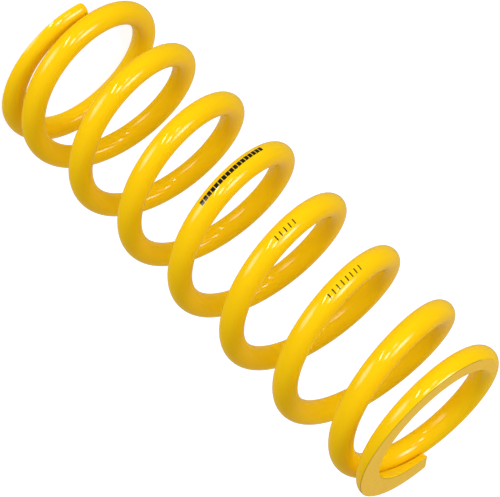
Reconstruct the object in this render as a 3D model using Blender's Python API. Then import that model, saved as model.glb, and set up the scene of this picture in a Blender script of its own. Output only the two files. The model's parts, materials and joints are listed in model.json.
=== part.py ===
"""Coil spring of a motorcycle rear shock absorber: round wire, right-hand wound, ends closed and ground.

The real spring is one wire. Here it is divided where it is free to flex, so that it can be squeezed:
a closed coil at each end, and between them quarter turns of active wire. Each quarter slides along the
spring's axis, and all of them slide by the same step. The cuts lie in planes through the axis, so
neighbours never meet as they slide.

The origin is the centre of the lower ground face, the spring's axis is +Z, and sizes are in metres.
"""

import math
from typing import NamedTuple

import bmesh
import bpy
from mathutils import Vector

MM = 0.001

# Driving dimensions
WIRE_DIAMETER = 10.65 * MM
COIL_RADIUS = 36.35 * MM  # from the axis to the middle of the wire, in the active coils
PITCH = 34.3 * MM  # rise per turn of the active coils
TURNS = 8.53  # from tip to tip
LOWER_TIP_ANGLE = math.radians(237.5)  # about +Z, from +X
CUT_GAP = 0.3 * MM  # least space between neighbouring lengths of wire
QUARTER = math.radians(90)  # the cuts are at whole multiples of this angle


class ClosedEnd(NamedTuple):
    """How the wire runs at one end. Places along the wire are counted in turns from the tip."""

    tip_height: float  # from the ground face to the middle of the wire at the tip
    tip_clearance: float  # between the tip and the coil over it
    opens_at: float  # middle of the stretch where the pitch opens
    opens_over: float  # length of that stretch
    pull_in: float  # how much smaller the closed coil's radius is
    pull_in_ends_at: float  # middle of the stretch where the radius comes back
    pull_in_ends_over: float  # length of that stretch
    closed_turns: float  # the least length of wire that doesn't flex


LOWER_END = ClosedEnd(
    tip_height=-0.85 * MM,
    tip_clearance=0.5 * MM,
    opens_at=1.0,
    opens_over=0.87,
    pull_in=0.5 * MM,
    pull_in_ends_at=0.88,
    pull_in_ends_over=0.67,
    closed_turns=1.3,
)
UPPER_END = ClosedEnd(
    tip_height=-1.55 * MM,
    tip_clearance=0.35 * MM,
    opens_at=0.97,
    opens_over=0.63,
    pull_in=1.4 * MM,
    pull_in_ends_at=1.25,
    pull_in_ends_over=0.3,
    closed_turns=1.3,
)

# Facets
SIDES = 16  # around the wire
FACET_ANGLE = math.radians(15)  # along the coil

YELLOW = (0.91, 0.55, 0.01, 1.0)
ROUGHNESS = 0.28


def clamped(value):
    return min(max(value, 0.0), 1.0)


def smooth_step(value):
    value = clamped(value)
    return value * value * (3 - 2 * value)


def opened(turns, end):
    """Turns of open pitch gained over the first `turns` turns: the integral of a smooth step."""
    start = end.opens_at - end.opens_over / 2
    part = clamped((turns - start) / end.opens_over)
    beyond = max(turns - start - end.opens_over, 0.0)
    return end.opens_over * (part**3 - part**4 / 2) + beyond


def closed_pitch(end):
    """The rise per turn at the tip that leaves the tip its clearance under the next coil."""
    first = opened(1.0, end)
    return (WIRE_DIAMETER + end.tip_clearance - PITCH * first) / (1 - first)


def rise(turns, end):
    """How far the middle of the wire has risen from the tip."""
    slow = closed_pitch(end)
    return slow * turns + (PITCH - slow) * opened(turns, end)


def pulled_in(turns, end):
    start = end.pull_in_ends_at - end.pull_in_ends_over / 2
    return end.pull_in * (1 - smooth_step((turns - start) / end.pull_in_ends_over))


MIDDLE = TURNS / 2
LOWER_HALF = LOWER_END.tip_height + rise(MIDDLE, LOWER_END)
UPPER_HALF = UPPER_END.tip_height + rise(MIDDLE, UPPER_END)
LENGTH = LOWER_HALF + UPPER_HALF


def turns_at(angle):
    return (angle - LOWER_TIP_ANGLE) / math.tau


def centre_at(angle):
    """The radius and height of the middle of the wire, where the wire has turned to this angle."""
    turns = turns_at(angle)
    radius = COIL_RADIUS - pulled_in(turns, LOWER_END) - pulled_in(TURNS - turns, UPPER_END)
    if turns < MIDDLE:
        height = LOWER_END.tip_height + rise(turns, LOWER_END)
    else:
        height = LENGTH - UPPER_END.tip_height - rise(TURNS - turns, UPPER_END)
    return radius, height


def section(angle):
    """The wire cut by the plane through the axis at this angle: a ring of points, taller than it is wide."""
    radius, height = centre_at(angle)
    step = math.radians(0.5)
    slope = (centre_at(angle + step)[1] - centre_at(angle - step)[1]) / (2 * step * radius)
    half_width = WIRE_DIAMETER / 2
    half_height = half_width * math.hypot(1, slope)
    outward = Vector((math.cos(angle), math.sin(angle), 0))
    ring = []
    for side in range(SIDES):
        around = math.tau * side / SIDES
        out = radius + half_width * math.cos(around)
        ring.append(outward * out + Vector((0, 0, height + half_height * math.sin(around))))
    return ring


def facet_angles(start, stop):
    """The start, every whole facet angle between, and the stop."""
    first = math.floor(start / FACET_ANGLE) + 1
    last = math.ceil(stop / FACET_ANGLE) - 1
    return [start] + [step * FACET_ANGLE for step in range(first, last + 1)] + [stop]


def wire_mesh(start, stop):
    """A closed length of wire between two angles."""
    mesh = bmesh.new()
    rings = []
    for angle in facet_angles(start, stop):
        rings.append([mesh.verts.new(point) for point in section(angle)])
    for here, there in zip(rings, rings[1:]):
        for side in range(SIDES):
            after = (side + 1) % SIDES
            mesh.faces.new((here[side], there[side], there[after], here[after]))
    mesh.faces.new(rings[0])
    mesh.faces.new(reversed(rings[-1]))
    return mesh


def grind(mesh, height, facing):
    """Takes off the wire beyond a level plane, and closes it with a flat face."""
    level = Vector((0, 0, height))
    everything = mesh.verts[:] + mesh.edges[:] + mesh.faces[:]
    cut = bmesh.ops.bisect_plane(
        mesh, geom=everything, plane_co=level, plane_no=facing, clear_outer=True
    )
    edges = [item for item in cut["geom_cut"] if isinstance(item, bmesh.types.BMEdge)]
    bmesh.ops.triangle_fill(mesh, edges=edges, normal=facing, use_beauty=True)


def powder_coat(name):
    material = bpy.data.materials.new(name + "_powder_coat")
    material.use_nodes = True
    shader = material.node_tree.nodes["Principled BSDF"]
    shader.inputs["Base Color"].default_value = YELLOW
    shader.inputs["Roughness"].default_value = ROUGHNESS
    shader.inputs["Metallic"].default_value = 0.0
    return material


def add_wire(name, mesh):
    bmesh.ops.recalc_face_normals(mesh, faces=mesh.faces[:])
    data = bpy.data.meshes.new(name)
    mesh.to_mesh(data)
    mesh.free()
    data.shade_smooth()
    data.set_sharp_from_angle(angle=math.radians(40))
    data.materials.append(powder_coat(name))
    wire = bpy.data.objects.new(name, data)
    bpy.context.scene.collection.objects.link(wire)
    return wire


def clear_scene():
    for item in list(bpy.data.objects):
        bpy.data.objects.remove(item, do_unlink=True)


def build():
    clear_scene()
    up = Vector((0, 0, 1))
    upper_tip_angle = LOWER_TIP_ANGLE + TURNS * math.tau
    half_cut = CUT_GAP / 2 / (COIL_RADIUS - WIRE_DIAMETER / 2)
    first_cut = math.ceil((LOWER_TIP_ANGLE + LOWER_END.closed_turns * math.tau) / QUARTER)
    last_cut = math.floor((upper_tip_angle - UPPER_END.closed_turns * math.tau) / QUARTER)

    lower = wire_mesh(LOWER_TIP_ANGLE, first_cut * QUARTER - half_cut)
    grind(lower, 0.0, -up)
    add_wire("lower_end_coil", lower)

    for index, cut in enumerate(range(first_cut, last_cut)):
        name = f"coil_{index // 4 + 1}_quarter_{index % 4 + 1}"
        add_wire(name, wire_mesh(cut * QUARTER + half_cut, (cut + 1) * QUARTER - half_cut))

    upper = wire_mesh(last_cut * QUARTER + half_cut, upper_tip_angle)
    grind(upper, LENGTH, up)
    add_wire("upper_end_coil", upper)


build()
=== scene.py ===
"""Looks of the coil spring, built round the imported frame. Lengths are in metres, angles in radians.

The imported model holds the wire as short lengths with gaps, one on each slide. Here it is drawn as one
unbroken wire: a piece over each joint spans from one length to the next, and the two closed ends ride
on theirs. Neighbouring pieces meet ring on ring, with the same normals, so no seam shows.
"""

import json
import math
from typing import NamedTuple

import bpy
import numpy as np
from mathutils import Matrix, Vector

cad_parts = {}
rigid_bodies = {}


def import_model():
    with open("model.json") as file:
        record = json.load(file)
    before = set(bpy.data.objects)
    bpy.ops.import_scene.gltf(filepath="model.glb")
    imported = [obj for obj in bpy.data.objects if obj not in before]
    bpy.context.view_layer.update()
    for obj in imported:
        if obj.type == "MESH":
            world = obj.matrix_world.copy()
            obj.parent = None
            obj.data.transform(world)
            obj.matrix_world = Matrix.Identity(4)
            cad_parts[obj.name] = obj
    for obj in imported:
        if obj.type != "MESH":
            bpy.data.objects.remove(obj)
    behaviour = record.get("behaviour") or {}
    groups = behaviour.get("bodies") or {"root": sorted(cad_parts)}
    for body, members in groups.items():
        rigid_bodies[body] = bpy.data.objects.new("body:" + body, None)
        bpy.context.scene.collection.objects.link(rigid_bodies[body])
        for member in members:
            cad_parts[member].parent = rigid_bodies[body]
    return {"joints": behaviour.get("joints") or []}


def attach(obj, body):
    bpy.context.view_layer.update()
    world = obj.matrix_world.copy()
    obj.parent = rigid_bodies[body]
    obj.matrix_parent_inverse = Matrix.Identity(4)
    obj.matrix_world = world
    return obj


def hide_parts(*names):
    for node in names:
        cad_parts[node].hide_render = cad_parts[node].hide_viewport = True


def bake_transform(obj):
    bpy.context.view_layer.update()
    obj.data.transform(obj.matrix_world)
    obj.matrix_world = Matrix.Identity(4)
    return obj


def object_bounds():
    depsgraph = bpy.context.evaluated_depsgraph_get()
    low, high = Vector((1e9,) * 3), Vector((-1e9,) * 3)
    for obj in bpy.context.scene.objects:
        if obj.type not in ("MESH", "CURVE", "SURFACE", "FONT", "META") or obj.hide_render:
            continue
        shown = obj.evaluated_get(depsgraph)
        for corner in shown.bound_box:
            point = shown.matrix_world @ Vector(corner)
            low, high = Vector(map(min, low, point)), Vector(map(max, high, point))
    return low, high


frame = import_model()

CAD_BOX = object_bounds()
MM = 0.001

# The winding, as in the CAD model
WIRE_DIAMETER = 10.65 * MM
COIL_RADIUS = 36.35 * MM
PITCH = 34.3 * MM
TURNS = 8.53
LOWER_TIP_ANGLE = math.radians(237.5)
UPPER_TIP_ANGLE = LOWER_TIP_ANGLE + TURNS * math.tau
FIRST_CUT = math.radians(720)
QUARTER = math.radians(90)
LOWER_FACE = CAD_BOX[0].z
UPPER_FACE = CAD_BOX[1].z

GIRTH = math.pi * WIRE_DIAMETER

# The mesh of the wire. The width of a ground face is given by the cosine of the angle from its middle to
# its edge, seen from the middle of the wire: 1 where the face starts, and less as it widens.
SIDES = 56  # points round the wire
FACE_POINTS = 3  # points from the middle of a ground face to its edge
TOO_NARROW = math.cos(math.tau * (FACE_POINTS + 0.5) / SIDES)  # a narrower face has no points of its own
RING_STEP = math.radians(2.25)
TIP_RINGS = 6  # extra rings round a tip's edge
TIP_CLEARS = 1.2  # no evenly spaced ring is nearer to a tip than this many times its rounding
SAME_ANGLE = 1e-9
EDGE_BREAK = 0.22 * MM  # the small chamfer round a ground face
BARE_EDGE_FROM = 0.75  # a face wider than this has a bare edge
COAT, GROUND, BARE = range(3)  # the order of the wire's materials


class ClosedEnd(NamedTuple):
    """How the wire runs at one end. Places along the wire are counted in turns from the tip."""

    tip_height: float  # of the wire's middle at the tip, measured inwards from the ground face
    tip_clearance: float  # from the tip to the next coil, before the tip is bent
    opens_at: float  # where the pitch is halfway from closed to full
    opens_over: float
    pull_in: float  # how much nearer to the axis the end runs
    pull_in_ends_at: float  # where half of that is left
    pull_in_ends_over: float
    tip_rounding: float  # radius of the edge round the cut end of the wire
    tip_bend: float  # 1 where the tip is bent over until it lies on the next coil


LOWER_END = ClosedEnd(-0.85 * MM, 0.5 * MM, 1.0, 0.87, 0.5 * MM, 0.88, 0.67, 2.6 * MM, 0.0)
UPPER_END = ClosedEnd(-1.55 * MM, 0.35 * MM, 0.97, 0.63, 1.4 * MM, 1.25, 0.3, 0.9 * MM, 1.0)
LOWER_CUT = LOWER_TIP_ANGLE - math.radians(1.3)  # the wire's ends, a little past the modelled tips
UPPER_CUT = UPPER_TIP_ANGLE + math.radians(1.5)
BEND_ENDS = (0.05, 0.25)  # turns from the tip where the tip's bend starts to fade and where it is gone
TIP_GAP = 0.02 * MM  # left between a bent tip and the next coil
TIP_LEANS = 0.8  # 1 where a rounded tip keeps touching the next coil right to its end


def smooth_step(value):
    """0 up to 0, 1 from 1 on, and a smooth climb between them."""
    value = np.clip(value, 0, 1)
    return value * value * (3 - 2 * value)


def opened(turns, end):
    """How many of the turns from the tip count as wound at the full pitch."""
    start = end.opens_at - end.opens_over / 2
    part = np.clip((turns - start) / end.opens_over, 0, 1)
    return end.opens_over * (part**3 - part**4 / 2) + np.maximum(turns - start - end.opens_over, 0)


def rise(turns, end):
    """How far the middle of the wire has risen from the tip."""
    first = opened(1.0, end)
    slow = (WIRE_DIAMETER + end.tip_clearance - PITCH * first) / (1 - first)
    return slow * turns + (PITCH - slow) * opened(turns, end)


def pulled_in(turns, end):
    """How much nearer to the axis the wire runs at a closed end."""
    start = end.pull_in_ends_at - end.pull_in_ends_over / 2
    return end.pull_in * (1 - smooth_step((turns - start) / end.pull_in_ends_over))


def bent_in(turns, end):
    """How far the tip is bent from the winding towards the next coil."""
    gap = rise(turns + 1, end) - rise(turns, end) - WIRE_DIAMETER - TIP_GAP
    fade = 1 - smooth_step((turns - BEND_ENDS[0]) / (BEND_ENDS[1] - BEND_ENDS[0]))
    return np.maximum(gap, 0) * fade * end.tip_bend


def centre_at(angles):
    """Radius and height of the middle of the wire."""
    turns = (angles - LOWER_TIP_ANGLE) / math.tau
    radius = COIL_RADIUS - pulled_in(turns, LOWER_END) - pulled_in(TURNS - turns, UPPER_END)
    left = TURNS - turns
    from_below = LOWER_FACE + LOWER_END.tip_height + rise(turns, LOWER_END) + bent_in(turns, LOWER_END)
    from_above = UPPER_FACE - UPPER_END.tip_height - rise(left, UPPER_END) - bent_in(left, UPPER_END)
    return radius, np.where(turns < TURNS / 2, from_below, from_above)


def half_height_at(angles):
    """Half the height of the wire's section: an upright cut through a sloping round wire is taller."""
    step = math.radians(0.5)
    radius, _ = centre_at(angles)
    slope = (centre_at(angles + step)[1] - centre_at(angles - step)[1]) / (2 * step * radius)
    return WIRE_DIAMETER / 2 * np.hypot(1, slope)


def shrunk_at(angles):
    """How far the section draws in from its full size, at the rounded edges of the tips."""
    radius, _ = centre_at(angles)
    total = np.zeros_like(angles)
    for tip, end in ((LOWER_CUT, LOWER_END), (UPPER_CUT, UPPER_END)):
        edge = end.tip_rounding
        inside = np.clip(edge - np.abs(angles - tip) * radius, 0, edge)
        total = total + edge - np.sqrt(np.maximum(edge**2 - inside**2, 0))
    return total


def leant_at(angles):
    """How far a shrunk section moves so that it keeps lying against the next coil."""
    towards_next = np.where(angles < (LOWER_CUT + UPPER_CUT) / 2, 1, -1)
    return towards_next * shrunk_at(angles) * TIP_LEANS


def surface(angles, around):
    """Points of the round wire, without its ground faces. `around` runs from outward (0) over the top."""
    radius, height = centre_at(angles)
    less = shrunk_at(angles)
    half_width = WIRE_DIAMETER / 2 - less
    half_height = half_height_at(angles) - less
    out = radius + half_width * np.cos(around)
    level = height + leant_at(angles) + half_height * np.sin(around)
    return np.stack([out * np.cos(angles), out * np.sin(angles), level], -1)


def surface_normals(angles, around):
    """Unit normals of the same surface, from small steps along and round it."""
    along_step = 1e-4
    around_step = 1e-3
    along = surface(angles + along_step, around) - surface(angles - along_step, around)
    across = surface(angles, around + around_step) - surface(angles, around - around_step)
    normals = np.cross(along, across)
    return normals / np.linalg.norm(normals, axis=-1, keepdims=True)


def ring_angles(start, stop):
    """Evenly spaced rings, with more of them where a tip's edge is rounded."""
    count = max(math.ceil((stop - start) / RING_STEP), 1)
    angles = list(np.linspace(start, stop, count + 1))
    turned = np.linspace(0, 1, TIP_RINGS + 1)[1:] * math.pi / 2
    for tip, inward, end in ((LOWER_CUT, 1, LOWER_END), (UPPER_CUT, -1, UPPER_END)):
        reach = end.tip_rounding / COIL_RADIUS
        if min(abs(start - tip), abs(stop - tip)) < SAME_ANGLE:
            angles = [a for a in angles if abs(a - tip) > reach * TIP_CLEARS or abs(a - tip) < SAME_ANGLE]
            angles += [tip + inward * reach * (1 - math.cos(turn)) for turn in turned]
    return np.array(sorted(set(angles)))


class Section(NamedTuple):
    """One ring of the wire. Point 0 is in the middle of the side that an end face is ground on."""

    points: np.ndarray
    normals: np.ndarray
    flat: np.ndarray  # True for a point on the ground face
    edge: np.ndarray  # True for a point on the chamfer round it


def section_at(angle, upper):
    """The ring at an angle. `upper` says which of the two end faces it may be ground on."""
    side = 1 if upper else -1
    facing = side * math.pi / 2
    angles = np.full(SIDES, angle)
    radius, height = (float(value[0]) for value in centre_at(angles))
    height += float(leant_at(angles)[0])
    less = float(shrunk_at(angles)[0])
    half_width = WIRE_DIAMETER / 2 - less
    half_height = float(half_height_at(angles)[0]) - less
    plane = (UPPER_FACE if upper else LOWER_FACE) - side * less
    face_cosine = (plane - height) * side / half_height

    around = facing + np.arange(SIDES) / SIDES * math.tau
    if face_cosine < TOO_NARROW:
        opening = math.acos(face_cosine - EDGE_BREAK / half_height)
        arc = np.linspace(opening, math.tau - opening, SIDES - 2 * FACE_POINTS - 1)
        around[FACE_POINTS + 1 : SIDES - FACE_POINTS] = facing + arc
    points = surface(angles, around)
    normals = surface_normals(angles, around)

    flat = np.zeros(SIDES, bool)
    edge = np.zeros(SIDES, bool)
    if face_cosine < TOO_NARROW:
        half_face = half_width * math.sin(math.acos(face_cosine)) - EDGE_BREAK
        outward = np.array([math.cos(angle), math.sin(angle), 0])
        for step in range(-FACE_POINTS, FACE_POINTS + 1):
            out = radius - side * half_face * step / FACE_POINTS
            points[step] = outward * out + np.array([0, 0, plane])
            flat[step] = True
        if face_cosine < BARE_EDGE_FROM:
            edge[[FACE_POINTS, FACE_POINTS + 1, -FACE_POINTS, -FACE_POINTS - 1]] = True
    elif face_cosine < 1:
        past = (points[:, 2] - plane) * side > 0
        points[past, 2] = plane
        flat[past] = True
    return Section(points, normals, flat, edge)


class Skin:
    """Faces, gathered one by one with their corners' normals and places on the UV map, and materials."""

    def __init__(self):
        self.faces = []
        self.normals = []
        self.places = []
        self.slots = []

    def add(self, corners, normals, places, slot):
        self.faces.append(corners)
        self.normals += normals
        self.places += places
        self.slots.append(slot)


def cover_side(skin, angles, rings, row, side, upper):
    """The face between two rings and two of their points, `side` and the one after it."""
    after = (side + 1) % SIDES
    corners = ((row, side), (row + 1, side), (row + 1, after), (row, after))
    if all(rings[ring].flat[point] for ring, point in corners):
        slot = GROUND
        normals = [Vector((0, 0, 1 if upper else -1))] * 4
    elif all(rings[ring].edge[point] for ring, point in corners):
        slot = BARE
        a, b, c = (Vector(rings[ring].points[point]) for ring, point in corners[:3])
        normals = [(b - a).cross(c - a).normalized()] * 4
    else:
        slot = COAT
        normals = [Vector(rings[ring].normals[point]) for ring, point in corners]
    here, there = angles[row] * COIL_RADIUS, angles[row + 1] * COIL_RADIUS
    low, high = side / SIDES * GIRTH, (side + 1) / SIDES * GIRTH
    places = [(here, low), (there, low), (there, high), (here, high)]
    skin.add([ring * SIDES + point for ring, point in corners], normals, places, slot)


def cover_end(skin, angles, ring, outward):
    """The flat face that closes the first ring (outward -1) or the last one (outward 1)."""
    angle = angles[ring]
    corners = [ring * SIDES + side for side in range(SIDES)][::-outward]
    facing = Vector((-math.sin(angle), math.cos(angle), 0)) * outward
    skin.add(corners, [facing] * SIDES, [(angle * COIL_RADIUS, 0)] * SIDES, COAT)


def wire_mesh(name, start, stop, upper, materials):
    """A closed length of wire with its normals, its UV map in metres and its faces' materials."""
    angles = ring_angles(start, stop)
    rings = [section_at(angle, upper) for angle in angles]
    skin = Skin()
    for row in range(len(rings) - 1):
        for side in range(SIDES):
            cover_side(skin, angles, rings, row, side, upper)
    cover_end(skin, angles, 0, -1)
    cover_end(skin, angles, len(rings) - 1, 1)

    mesh = bpy.data.meshes.new(name)
    mesh.from_pydata(np.concatenate([ring.points for ring in rings]).tolist(), [], skin.faces)
    for material in materials:
        mesh.materials.append(material)
    mesh.polygons.foreach_set("material_index", skin.slots)
    mesh.shade_smooth()
    layer = mesh.uv_layers.new(name="wire")
    layer.data.foreach_set("uv", np.array(skin.places, np.float32).ravel())
    mesh.normals_split_custom_set([tuple(normal) for normal in skin.normals])
    mesh.validate()
    piece = bpy.data.objects.new(name, mesh)
    bpy.context.scene.collection.objects.link(piece)
    return piece


# Materials

NOISE_SPREAD = (0.3, 0.7)  # most of a noise's values lie between these


def principled(name, colour, roughness):
    """A material with a plain colour and roughness, either of which a pattern may take over."""
    material = bpy.data.materials.new(name)
    material.use_nodes = True
    shader = material.node_tree.nodes["Principled BSDF"]
    shader.inputs["Base Color"].default_value = (*colour, 1)
    shader.inputs["Roughness"].default_value = roughness
    return material, material.node_tree, shader


def noise(tree, scale, detail):
    """Noise in space, its scale in waves to the metre."""
    node = tree.nodes.new("ShaderNodeTexNoise")
    node.inputs["Scale"].default_value = scale
    node.inputs["Detail"].default_value = detail
    place = tree.nodes.new("ShaderNodeTexCoord")
    tree.links.new(place.outputs["Object"], node.inputs["Vector"])
    return node.outputs["Fac"]


def spread(tree, value, low, high):
    """Noise stretched to run from low to high."""
    node = tree.nodes.new("ShaderNodeMapRange")
    node.inputs["From Min"].default_value = NOISE_SPREAD[0]
    node.inputs["From Max"].default_value = NOISE_SPREAD[1]
    node.inputs["To Min"].default_value = low
    node.inputs["To Max"].default_value = high
    tree.links.new(value, node.inputs["Value"])
    return node.outputs["Result"]


def tinted(tree, value, low, high):
    """A colour that wanders between two with the noise."""
    node = tree.nodes.new("ShaderNodeMix")
    node.data_type = "RGBA"
    node.inputs["A"].default_value = (*low, 1)
    node.inputs["B"].default_value = (*high, 1)
    tree.links.new(value, node.inputs["Factor"])
    return node.outputs["Result"]


def bumped(tree, shader, value, depth):
    node = tree.nodes.new("ShaderNodeBump")
    node.inputs["Strength"].default_value = 1.0
    node.inputs["Distance"].default_value = depth
    tree.links.new(value, node.inputs["Height"])
    tree.links.new(node.outputs["Normal"], shader.inputs["Normal"])


class Print(NamedTuple):
    """A row of plain bars printed on the outer side of the wire, in the middle of the spring."""

    turn: float  # turns of the wire from the axis +X, at the middle of the row
    above: float  # how far its middle sits above the outermost line of the wire
    bars: int
    pitch: float
    bar_width: float
    height: float


PRINTS = (
    Print(4.688, -1.2 * MM, 17, 2.05 * MM, 1.75 * MM, 2.3 * MM),
    Print(5.695, 0.8 * MM, 5, 2.35 * MM, 0.5 * MM, 2.6 * MM),
    Print(6.685, 0.8 * MM, 8, 2.35 * MM, 0.5 * MM, 2.6 * MM),
)
PRINT_EDGE = 0.1 * MM  # over which the ink fades out
INK = (0.012, 0.010, 0.008, 1)


def maths(tree, operation, first, second=None):
    node = tree.nodes.new("ShaderNodeMath")
    node.operation = operation
    for socket, value in zip(node.inputs, (first, second)):
        if isinstance(value, bpy.types.NodeSocket):
            tree.links.new(value, socket)
        elif value is not None:
            socket.default_value = value
    return node.outputs["Value"]


def within(tree, value, half_width):
    """1 where the value is nearer to 0 than the half width, fading to 0 over the print's edge."""
    node = tree.nodes.new("ShaderNodeMapRange")
    node.inputs["From Min"].default_value = half_width - PRINT_EDGE / 2
    node.inputs["From Max"].default_value = half_width + PRINT_EDGE / 2
    node.inputs["To Min"].default_value = 1
    node.inputs["To Max"].default_value = 0
    tree.links.new(maths(tree, "ABSOLUTE", value), node.inputs["Value"])
    return node.outputs["Result"]


def printed(tree):
    """1 in the ink of the printed bars, from the UV map that runs along and round the wire in metres."""
    place = tree.nodes.new("ShaderNodeUVMap")
    place.uv_map = "wire"
    split = tree.nodes.new("ShaderNodeSeparateXYZ")
    tree.links.new(place.outputs["UV"], split.inputs["Vector"])
    ink = 0.0
    for row in PRINTS:
        along = maths(tree, "SUBTRACT", split.outputs["X"], row.turn * math.tau * COIL_RADIUS)
        across = maths(tree, "SUBTRACT", split.outputs["Y"], GIRTH / 4 + row.above)
        from_bar = maths(tree, "PINGPONG", maths(tree, "ADD", along, row.bars * row.pitch), row.pitch / 2)
        if row.bars % 2 == 0:
            from_bar = maths(tree, "SUBTRACT", row.pitch / 2, from_bar)
        here = within(tree, along, row.bars * row.pitch / 2)
        here = maths(tree, "MULTIPLY", here, within(tree, across, row.height / 2))
        here = maths(tree, "MULTIPLY", here, within(tree, from_bar, row.bar_width / 2))
        ink = maths(tree, "ADD", here, ink)
    return ink


def powder_coat():
    material, tree, shader = principled("powder_coat", (0.93, 0.56, 0.003), 0.06)
    shader.inputs["IOR"].default_value = 1.5
    colour = tinted(tree, noise(tree, 55, 3), (0.9, 0.56, 0.002), (0.925, 0.59, 0.004))
    inked = tree.nodes.new("ShaderNodeMix")
    inked.data_type = "RGBA"
    inked.inputs["B"].default_value = INK
    tree.links.new(colour, inked.inputs["A"])
    tree.links.new(printed(tree), inked.inputs["Factor"])
    tree.links.new(inked.outputs["Result"], shader.inputs["Base Color"])
    tree.links.new(spread(tree, noise(tree, 260, 2), 0.056, 0.064), shader.inputs["Roughness"])
    bumped(tree, shader, noise(tree, 520, 2), 0.0006 * MM)
    return material


def ground_face():
    material, tree, shader = principled("ground_face", (0.8, 0.5, 0.08), 0.5)
    colour = tinted(tree, noise(tree, 950, 5), (0.79, 0.485, 0.025), (0.98, 0.62, 0.045))
    tree.links.new(colour, shader.inputs["Base Color"])
    bumped(tree, shader, noise(tree, 2600, 3), 0.02 * MM)
    return material


def broken_edge():
    material, tree, shader = principled("broken_edge", (0.5, 0.34, 0.01), 0.35)
    colour = tinted(tree, noise(tree, 900, 2), (0.44, 0.3, 0.008), (0.6, 0.41, 0.012))
    tree.links.new(colour, shader.inputs["Base Color"])
    return material


# The wire


def wind_spring():
    materials = [powder_coat(), ground_face(), broken_edge()]
    joints = frame["joints"]
    bodies = [joints[0]["parent"]] + [joint["child"] for joint in joints]
    half = QUARTER / 2

    lower = wire_mesh("lower_end_wire", LOWER_CUT, FIRST_CUT - half, False, materials)
    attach(lower, bodies[0])
    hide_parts(bodies[0])

    for index in range(len(joints)):
        cut = FIRST_CUT + index * QUARTER
        name = f"active_wire_{index + 1:02d}"
        wire = wire_mesh(name, cut - half, cut + half, False, materials)
        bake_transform(wire)
        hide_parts(bodies[index], bodies[index + 1])

    last = FIRST_CUT + (len(joints) - 1) * QUARTER + half
    upper = wire_mesh("upper_end_wire", last, UPPER_CUT, True, materials)
    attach(upper, bodies[-1])
    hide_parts(bodies[-1])


# Studio, where angles are in degrees


def direction(azimuth, elevation):
    """A unit vector: azimuth 0 is -Y and 90 is +X."""
    turn, up = math.radians(azimuth), math.radians(elevation)
    return Vector((math.sin(turn) * math.cos(up), -math.cos(turn) * math.cos(up), math.sin(up)))


MIDDLE = Vector((0, 0, (LOWER_FACE + UPPER_FACE) / 2))

CAMERA_ELEVATION = 22.77
CAMERA_DISTANCE = 0.9095
CAMERA_ROLL = 135.3
CAMERA_LENS = 150.3
CAMERA_SHIFT = (0.01175, -0.0247)

LIGHT_DISTANCE = 1.3

ROOM_LIGHT = 0.59
ROOM_TINT = (1, 0.94, 0.88, 1)
ROOM_IN_GLOSS = 0.12
BACKDROP_IN_GLOSS = 0.42
GLOSS_TINT = (1.35, 0.95, 0.42, 1)
BACKDROP = (180, -23)  # azimuth and elevation of its middle
BACKDROP_FADES = (0.2, 0.95)  # cosines of the angles from its middle where it is gone and where it is full

FLOOR_REACH = 12
FLOOR_COLOUR = (0.42, 0.43, 0.44)
FLOOR_GLOW = (0.76, 0.765, 0.87, 1)
FLOOR_GAP = 0.2 * MM  # under the spring


def add_camera():
    away = direction(0, CAMERA_ELEVATION)
    data = bpy.data.cameras.new("camera")
    data.sensor_width = 36
    data.lens = CAMERA_LENS
    data.shift_x, data.shift_y = CAMERA_SHIFT
    data.clip_start = 0.05
    camera = bpy.data.objects.new("camera", data)
    right = Vector((1, 0, 0))
    upright = Matrix((right, away.cross(right), away)).transposed()
    roll = Matrix.Rotation(math.radians(CAMERA_ROLL), 3, "Z")
    camera.matrix_world = Matrix.Translation(MIDDLE + away * CAMERA_DISTANCE) @ (upright @ roll).to_4x4()
    bpy.context.scene.collection.objects.link(camera)
    bpy.context.scene.camera = camera


class Panel(NamedTuple):
    """A soft light facing the spring. Its place and size are angles, seen from the spring."""

    name: str
    azimuth: float
    elevation: float
    width: float
    height: float
    radiance: float
    lean: float = 0.0  # how far its upright leans over
    core: float = 0.5  # the part of its half width that is at full strength
    mirrored: bool = True  # whether it shows in the gloss


PANELS = (
    Panel("key_panel", -58, 43, 42, 33, 7.6, core=0.05),
    Panel("upper_strip", -24.5, 20.5, 13, 24, 6.8, core=0.4),
    Panel("side_strip", -38, 13, 13, 20, 3.2, core=0.4),
    Panel("lower_strip", -15, -15.5, 5.5, 35, 13, lean=-20, core=0.5),
    Panel("low_panel", 16, -31, 42, 54, 3.5, core=0.2),
    Panel("back_panel", 165, 25, 80, 60, 0.85, core=0.1, mirrored=False),
)


def fade_out(light, core):
    """Makes a light fade from full strength in its middle to nothing at its rim."""
    light.use_nodes = True
    tree = light.node_tree
    place = tree.nodes.new("ShaderNodeNewGeometry")
    reach = tree.nodes.new("ShaderNodeVectorMath")
    reach.operation = "DISTANCE"
    reach.inputs[1].default_value = (0.5, 0.5, 0)
    tree.links.new(place.outputs["Parametric"], reach.inputs[0])
    fade = tree.nodes.new("ShaderNodeMapRange")
    fade.interpolation_type = "SMOOTHSTEP"
    fade.inputs["From Min"].default_value = 0.5 * core
    fade.inputs["From Max"].default_value = 0.5
    fade.inputs["To Min"].default_value = 1
    fade.inputs["To Max"].default_value = 0
    tree.links.new(reach.outputs["Value"], fade.inputs["Value"])
    tree.links.new(fade.outputs["Result"], tree.nodes["Emission"].inputs["Strength"])


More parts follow.
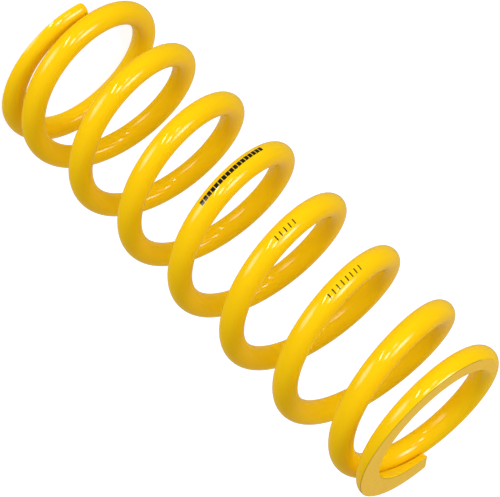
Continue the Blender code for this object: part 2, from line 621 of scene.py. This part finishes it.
def add_lights():
    """The panels, each with the power that gives an ellipse of its size its radiance."""
    for panel in PANELS:
        away = direction(panel.azimuth, panel.elevation)
        data = bpy.data.lights.new(panel.name, "AREA")
        data.shape = "ELLIPSE"
        data.size = 2 * LIGHT_DISTANCE * math.tan(math.radians(panel.width / 2))
        data.size_y = 2 * LIGHT_DISTANCE * math.tan(math.radians(panel.height / 2))
        data.energy = math.pi * data.size * data.size_y * panel.radiance
        fade_out(data, panel.core)
        light = bpy.data.objects.new(panel.name, data)
        light.visible_glossy = panel.mirrored
        upright = away.to_track_quat("Z", "Y").to_matrix()
        turned = upright @ Matrix.Rotation(math.radians(panel.lean), 3, "Z")
        light.matrix_world = Matrix.Translation(MIDDLE + away * LIGHT_DISTANCE) @ turned.to_4x4()
        bpy.context.scene.collection.objects.link(light)


def add_world():
    """An even, slightly warm room. In the gloss it is dim, but for the backdrop behind the spring."""
    world = bpy.data.worlds.new("studio")
    bpy.context.scene.world = world
    world.use_nodes = True
    tree = world.node_tree
    background = tree.nodes["Background"]
    place = tree.nodes.new("ShaderNodeTexCoord")
    towards = tree.nodes.new("ShaderNodeVectorMath")
    towards.operation = "DOT_PRODUCT"
    towards.inputs[1].default_value = direction(*BACKDROP)
    tree.links.new(place.outputs["Generated"], towards.inputs[0])
    backdrop = tree.nodes.new("ShaderNodeMapRange")
    backdrop.interpolation_type = "SMOOTHSTEP"
    backdrop.inputs["From Min"].default_value = BACKDROP_FADES[0]
    backdrop.inputs["From Max"].default_value = BACKDROP_FADES[1]
    backdrop.inputs["To Min"].default_value = ROOM_IN_GLOSS - ROOM_LIGHT
    backdrop.inputs["To Max"].default_value = BACKDROP_IN_GLOSS - ROOM_LIGHT
    tree.links.new(towards.outputs["Value"], backdrop.inputs["Value"])
    rays = tree.nodes.new("ShaderNodeLightPath")
    tint = tree.nodes.new("ShaderNodeMix")
    tint.data_type = "RGBA"
    tint.inputs["A"].default_value = ROOM_TINT
    tint.inputs["B"].default_value = GLOSS_TINT
    tree.links.new(rays.outputs["Is Glossy Ray"], tint.inputs["Factor"])
    tree.links.new(tint.outputs["Result"], background.inputs["Color"])
    change = maths(tree, "MULTIPLY", rays.outputs["Is Glossy Ray"], backdrop.outputs["Result"])
    tree.links.new(maths(tree, "ADD", change, ROOM_LIGHT), background.inputs["Strength"])


def add_floor():
    """A plain floor that glows, so that the spring's shadow on it stays faint."""
    mesh = bpy.data.meshes.new("floor")
    reach = FLOOR_REACH
    corners = [(-reach, -reach, 0), (reach, -reach, 0), (reach, reach, 0), (-reach, reach, 0)]
    mesh.from_pydata(corners, [], [(0, 1, 2, 3)])
    material, _, shader = principled("floor", FLOOR_COLOUR, 0.9)
    shader.inputs["Emission Color"].default_value = FLOOR_GLOW
    shader.inputs["Emission Strength"].default_value = 1.0
    mesh.materials.append(material)
    floor = bpy.data.objects.new("floor", mesh)
    floor.location.z = LOWER_FACE - FLOOR_GAP
    floor.visible_diffuse = False
    floor.visible_glossy = False
    floor.visible_shadow = False
    bpy.context.scene.collection.objects.link(floor)


def main():
    bpy.context.scene.view_settings.view_transform = "Standard"
    wind_spring()
    add_camera()
    add_lights()
    add_world()
    add_floor()


main()
